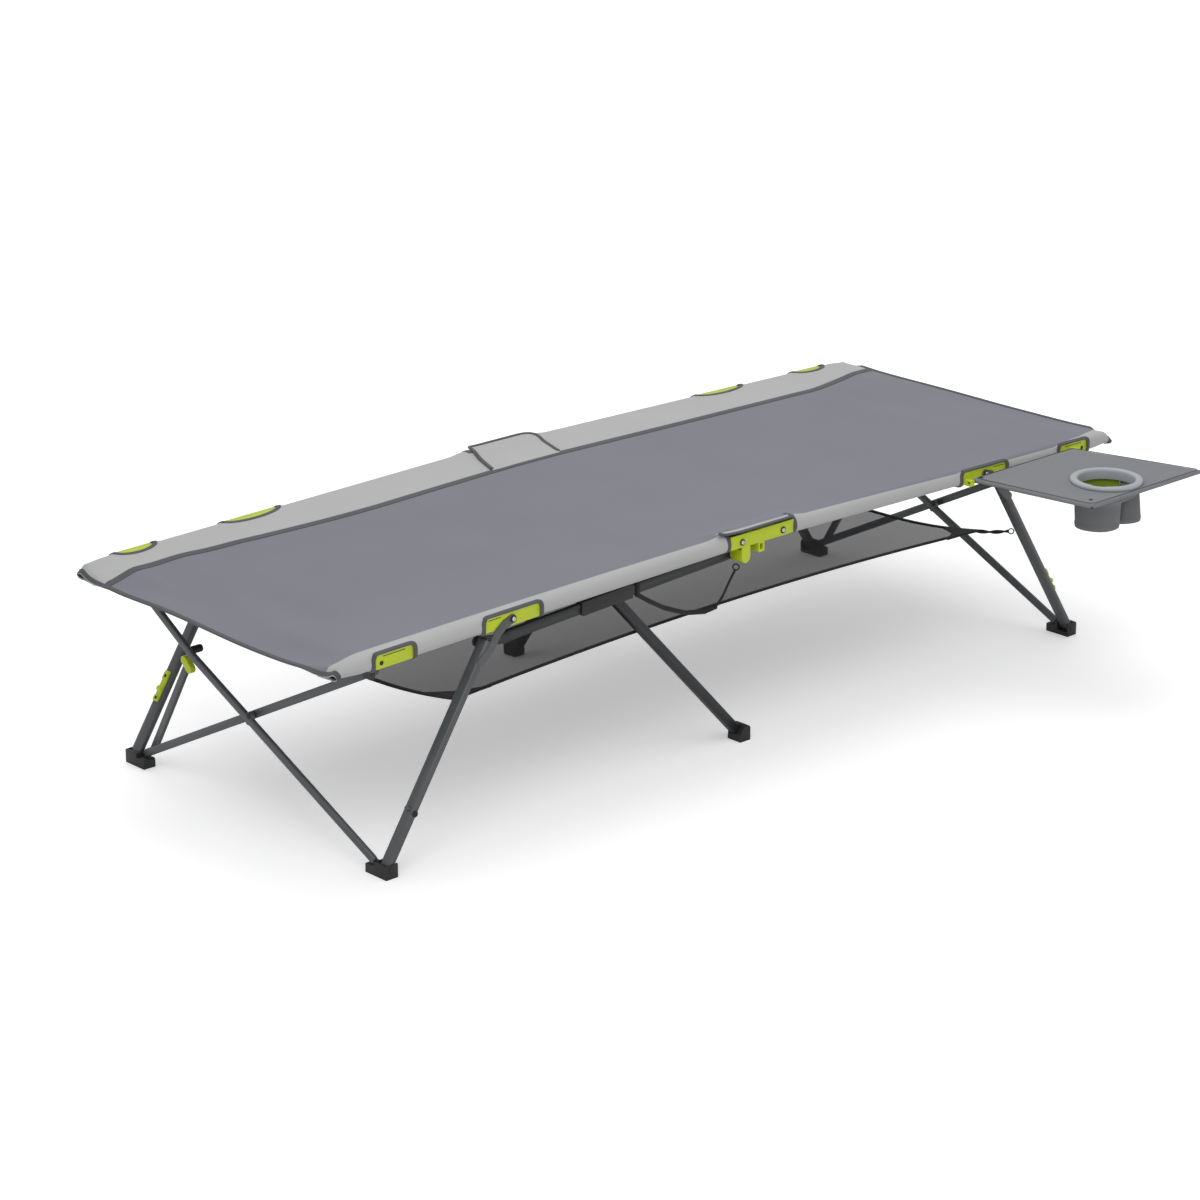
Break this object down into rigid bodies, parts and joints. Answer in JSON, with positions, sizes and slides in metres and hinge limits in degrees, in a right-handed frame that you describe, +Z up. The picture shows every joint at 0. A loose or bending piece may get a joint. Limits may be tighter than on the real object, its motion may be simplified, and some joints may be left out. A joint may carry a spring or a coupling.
{
  "type": "folding camping cot",
  "caption": "Folding camping cot: cloth bed on two hinged side rails, angled legs, crossed end bars, slung net shelf and a fold-up side table with a cup pocket.",
  "frame": {"origin": "centre of the footprint, on the ground the feet stand on", "axes": "+Z up; X along the bed's length, with the side table on the +X half; -Y towards the side table"},
  "size_m": [2.12, 1.0834, 0.4558],
  "materials": {
    "green_plastic": "satin",
    "grey_tube": "satin",
    "black_tube": "satin",
    "black_plastic": "matte",
    "bed_cloth": "woven",
    "net_cloth": "woven",
    "ring_plastic": "satin",
    "pocket_cloth": "woven",
    "steel_pin": "brushed"
  },
  "bodies": {
    "near_hub": {"near_hub": "green_plastic", "bed_middle": "bed_cloth"},
    "far_hub": {"far_hub": "green_plastic"},
    "near_left_rail": {"near_left_rail": "grey_tube", "near_left_quarter_bracket": "green_plastic", "near_left_end_bracket": "green_plastic", "bed_left": "bed_cloth"},
    "near_left_leg": {"near_left_leg": "grey_tube", "near_left_leg_plug": "black_plastic"},
    "near_left_foot": {"near_left_foot": "black_plastic"},
    "near_left_yoke": {"near_left_yoke": "black_plastic"},
    "near_support_bar": {"near_support_bar": "black_tube", "near_middle_bracket": "black_plastic"},
    "near_middle_leg": {"near_middle_leg": "black_tube", "near_middle_foot": "black_plastic"},
    "near_right_rail": {"near_right_rail": "grey_tube", "near_right_quarter_bracket": "green_plastic", "near_right_end_bracket": "green_plastic", "bed_right": "bed_cloth"},
    "near_right_leg": {"near_right_leg": "grey_tube", "near_right_leg_plug": "black_plastic", "near_right_leg_clip": "green_plastic"},
    "near_right_foot": {"near_right_foot": "black_plastic"},
    "near_right_yoke": {"near_right_yoke": "black_plastic"},
    "far_left_rail": {"far_left_rail": "grey_tube", "far_left_quarter_bracket": "green_plastic", "far_left_end_bracket": "green_plastic"},
    "far_left_leg": {"far_left_leg": "grey_tube", "far_left_leg_plug": "black_plastic", "far_left_leg_clip": "green_plastic"},
    "far_left_foot": {"far_left_foot": "black_plastic"},
    "far_left_yoke": {"far_left_yoke": "black_plastic"},
    "far_right_rail": {"far_right_rail": "grey_tube", "far_right_quarter_bracket": "green_plastic", "far_right_end_bracket": "green_plastic"},
    "far_right_leg": {"far_right_leg": "grey_tube", "far_right_leg_plug": "black_plastic"},
    "far_right_foot": {"far_right_foot": "black_plastic"},
    "far_right_yoke": {"far_right_yoke": "black_plastic"},
    "far_support_bar": {"far_support_bar": "black_tube", "far_middle_bracket": "black_plastic"},
    "far_middle_leg": {"far_middle_leg": "black_tube", "far_middle_foot": "black_plastic"},
    "left_straight_bar": {"left_straight_bar": "grey_tube", "left_cross_pin": "steel_pin"},
    "left_bent_bar": {"left_bent_bar": "grey_tube"},
    "left_brace": {"left_brace": "grey_tube", "left_brace_cap": "green_plastic"},
    "right_straight_bar": {"right_straight_bar": "grey_tube", "right_cross_pin": "steel_pin"},
    "right_bent_bar": {"right_bent_bar": "grey_tube"},
    "right_brace": {"right_brace": "grey_tube", "right_brace_cap": "green_plastic"},
    "left_shelf": {"shelf_left": "net_cloth"},
    "right_shelf": {"shelf_right": "net_cloth"},
    "side_table": {"side_table_frame": "black_tube", "side_table_top": "bed_cloth", "cup_ring": "ring_plastic", "cup_pocket": "pocket_cloth"}
  },
  "joints": [
    {"name": "near_left_fold", "type": "hinge", "parent": "near_hub", "child": "near_left_rail", "pos_m": [-0.056, -0.233, 0.438], "axis": [0, 1, 0], "range_deg": [0, 90], "deforming": ["bed_left", "bed_middle", "bed_right", "shelf_left", "shelf_right"]},
    {"name": "near_right_fold", "type": "hinge", "parent": "near_hub", "child": "near_right_rail", "pos_m": [0.056, -0.233, 0.438], "axis": [0, -1, 0], "range_deg": [0, 90.02]},
    {"name": "near_left_leg_fold", "type": "hinge", "parent": "near_left_rail", "child": "near_left_leg", "pos_m": [-0.65039, -0.233, 0.42679], "axis": [0, -1, 0], "range_deg": [0, 123.5]},
    {"name": "near_left_foot_pivot", "type": "hinge", "parent": "near_left_leg", "child": "near_left_foot", "pos_m": [-0.94884, -0.236, 0.019], "axis": [0, 1, 0], "range_deg": [0, 33.5]},
    {"name": "near_left_yoke_pivot", "type": "hinge", "parent": "near_left_rail", "child": "near_left_yoke", "pos_m": [-0.94884, -0.205, 0.42117], "axis": [0, -1, 0], "range_deg": [0, 90.02]},
    {"name": "near_right_leg_fold", "type": "hinge", "parent": "near_right_rail", "child": "near_right_leg", "pos_m": [0.65039, -0.233, 0.42679], "axis": [0, 1, 0], "range_deg": [0, 123.5]},
    {"name": "near_right_foot_pivot", "type": "hinge", "parent": "near_right_leg", "child": "near_right_foot", "pos_m": [0.94884, -0.236, 0.019], "axis": [0, -1, 0], "range_deg": [0, 33.5]},
    {"name": "near_right_yoke_pivot", "type": "hinge", "parent": "near_right_rail", "child": "near_right_yoke", "pos_m": [0.94884, -0.205, 0.42117], "axis": [0, 1, 0], "range_deg": [0, 90.02]},
    {"name": "near_support_fold", "type": "hinge", "parent": "near_hub", "child": "near_support_bar", "pos_m": [-0.044, -0.206, 0.404], "axis": [0, 1, 0], "range_deg": [0, 94.17]},
    {"name": "near_middle_leg_fold", "type": "hinge", "parent": "near_support_bar", "child": "near_middle_leg", "pos_m": [-0.334, -0.1855, 0.37], "axis": [0, -1, 0], "range_deg": [0, 50.87]},
    {"name": "left_straight_bar_top", "type": "hinge", "parent": "near_left_yoke", "child": "left_straight_bar", "pos_m": [-0.94884, -0.205, 0.38617], "axis": [-1, 0, 0], "range_deg": [0, 47.72]},
    {"name": "left_cross_pivot", "type": "hinge", "parent": "left_straight_bar", "child": "left_bent_bar", "pos_m": [-0.94884, 0.144, 0.20708], "axis": [1, 0, 0], "range_deg": [0, 95.42]},
    {"name": "left_brace_fold", "type": "hinge", "parent": "left_straight_bar", "child": "left_brace", "pos_m": [-0.94884, 0.493, 0.028], "axis": [1, 0, 0], "range_deg": [0, 27.92]},
    {"name": "right_straight_bar_top", "type": "hinge", "parent": "near_right_yoke", "child": "right_straight_bar", "pos_m": [0.94884, -0.205, 0.38617], "axis": [-1, 0, 0], "range_deg": [0, 47.72]},
    {"name": "right_cross_pivot", "type": "hinge", "parent": "right_straight_bar", "child": "right_bent_bar", "pos_m": [0.94884, 0.144, 0.20708], "axis": [1, 0, 0], "range_deg": [0, 95.42]},
    {"name": "right_brace_fold", "type": "hinge", "parent": "right_straight_bar", "child": "right_brace", "pos_m": [0.94884, 0.493, 0.028], "axis": [1, 0, 0], "range_deg": [0, 27.92]},
    {"name": "left_bent_bar_top", "type": "hinge", "parent": "left_bent_bar", "child": "far_left_yoke", "pos_m": [-0.94884, 0.493, 0.38617], "axis": [-1, 0, 0], "range_deg": [0, 47.72]},
    {"name": "far_left_yoke_pivot", "type": "hinge", "parent": "far_left_yoke", "child": "far_left_rail", "pos_m": [-0.94884, 0.493, 0.42117], "axis": [0, 1, 0], "range_deg": [0, 90.02]},
    {"name": "far_left_leg_fold", "type": "hinge", "parent": "far_left_rail", "child": "far_left_leg", "pos_m": [-0.65039, 0.521, 0.42679], "axis": [0, -1, 0], "range_deg": [0, 123.5]},
    {"name": "far_left_foot_pivot", "type": "hinge", "parent": "far_left_leg", "child": "far_left_foot", "pos_m": [-0.94884, 0.524, 0.019], "axis": [0, 1, 0], "range_deg": [0, 33.5]},
    {"name": "far_left_fold", "type": "hinge", "parent": "far_left_rail", "child": "far_hub", "pos_m": [-0.056, 0.521, 0.438], "axis": [0, -1, 0], "range_deg": [0, 90.02]},
    {"name": "far_right_fold", "type": "hinge", "parent": "far_hub", "child": "far_right_rail", "pos_m": [0.056, 0.521, 0.438], "axis": [0, -1, 0], "range_deg": [0, 90.02]},
    {"name": "far_right_leg_fold", "type": "hinge", "parent": "far_right_rail", "child": "far_right_leg", "pos_m": [0.65039, 0.521, 0.42679], "axis": [0, 1, 0], "range_deg": [0, 123.5]},
    {"name": "far_right_foot_pivot", "type": "hinge", "parent": "far_right_leg", "child": "far_right_foot", "pos_m": [0.94884, 0.524, 0.019], "axis": [0, -1, 0], "range_deg": [0, 33.5]},
    {"name": "far_right_yoke_pivot", "type": "hinge", "parent": "far_right_rail", "child": "far_right_yoke", "pos_m": [0.94884, 0.493, 0.42117], "axis": [0, 1, 0], "range_deg": [0, 90.02]},
    {"name": "far_support_fold", "type": "hinge", "parent": "far_hub", "child": "far_support_bar", "pos_m": [0.044, 0.494, 0.404], "axis": [0, -1, 0], "range_deg": [0, 94.17]},
    {"name": "far_middle_leg_fold", "type": "hinge", "parent": "far_support_bar", "child": "far_middle_leg", "pos_m": [0.334, 0.4735, 0.37], "axis": [0, 1, 0], "range_deg": [0, 50.87]},
    {"name": "side_table_fold", "type": "hinge", "parent": "near_right_rail", "child": "side_table", "pos_m": [0.76, -0.2645, 0.424], "axis": [-1, 0, 0], "range_deg": [0, 90]},
    {"name": "left_shelf_slide", "type": "slide", "parent": "near_left_rail", "child": "left_shelf", "axis": [0, 0, 1], "range_m": [0, 0.1201]},
    {"name": "right_shelf_slide", "type": "slide", "parent": "near_right_rail", "child": "right_shelf", "axis": [0, 0, 1], "range_m": [0, 0.1201]}
  ],
  "couplings": [
    {"joint": "near_right_fold", "follows": "near_left_fold", "ratio": 1},
    {"joint": "near_left_leg_fold", "follows": "near_left_fold", "ratio": 1.372},
    {"joint": "near_left_foot_pivot", "follows": "near_left_fold", "ratio": 0.37199},
    {"joint": "near_left_yoke_pivot", "follows": "near_left_fold", "ratio": 1},
    {"joint": "near_right_leg_fold", "follows": "near_left_fold", "ratio": 1.372},
    {"joint": "near_right_foot_pivot", "follows": "near_left_fold", "ratio": 0.37199},
    {"joint": "near_right_yoke_pivot", "follows": "near_left_fold", "ratio": 1},
    {"joint": "near_support_fold", "follows": "near_left_fold", "ratio": 1.0461},
    {"joint": "near_middle_leg_fold", "follows": "near_left_fold", "ratio": 0.565},
    {"joint": "left_straight_bar_top", "follows": "near_left_fold", "ratio": 0.53},
    {"joint": "left_cross_pivot", "follows": "near_left_fold", "ratio": 1.06},
    {"joint": "left_brace_fold", "follows": "near_left_fold", "ratio": 0.31},
    {"joint": "right_straight_bar_top", "follows": "near_left_fold", "ratio": 0.53},
    {"joint": "right_cross_pivot", "follows": "near_left_fold", "ratio": 1.06},
    {"joint": "right_brace_fold", "follows": "near_left_fold", "ratio": 0.31},
    {"joint": "left_bent_bar_top", "follows": "near_left_fold", "ratio": 0.53},
    {"joint": "far_left_yoke_pivot", "follows": "near_left_fold", "ratio": 1},
    {"joint": "far_left_leg_fold", "follows": "near_left_fold", "ratio": 1.372},
    {"joint": "far_left_foot_pivot", "follows": "near_left_fold", "ratio": 0.37199},
    {"joint": "far_left_fold", "follows": "near_left_fold", "ratio": 1},
    {"joint": "far_right_fold", "follows": "near_left_fold", "ratio": 1},
    {"joint": "far_right_leg_fold", "follows": "near_left_fold", "ratio": 1.372},
    {"joint": "far_right_foot_pivot", "follows": "near_left_fold", "ratio": 0.37199},
    {"joint": "far_right_yoke_pivot", "follows": "near_left_fold", "ratio": 1},
    {"joint": "far_support_fold", "follows": "near_left_fold", "ratio": 1.0461},
    {"joint": "far_middle_leg_fold", "follows": "near_left_fold", "ratio": 0.565},
    {"joint": "left_shelf_slide", "follows": "near_left_fold", "m_per_rad": 0.07639},
    {"joint": "right_shelf_slide", "follows": "near_left_fold", "m_per_rad": 0.07639}
  ]
}
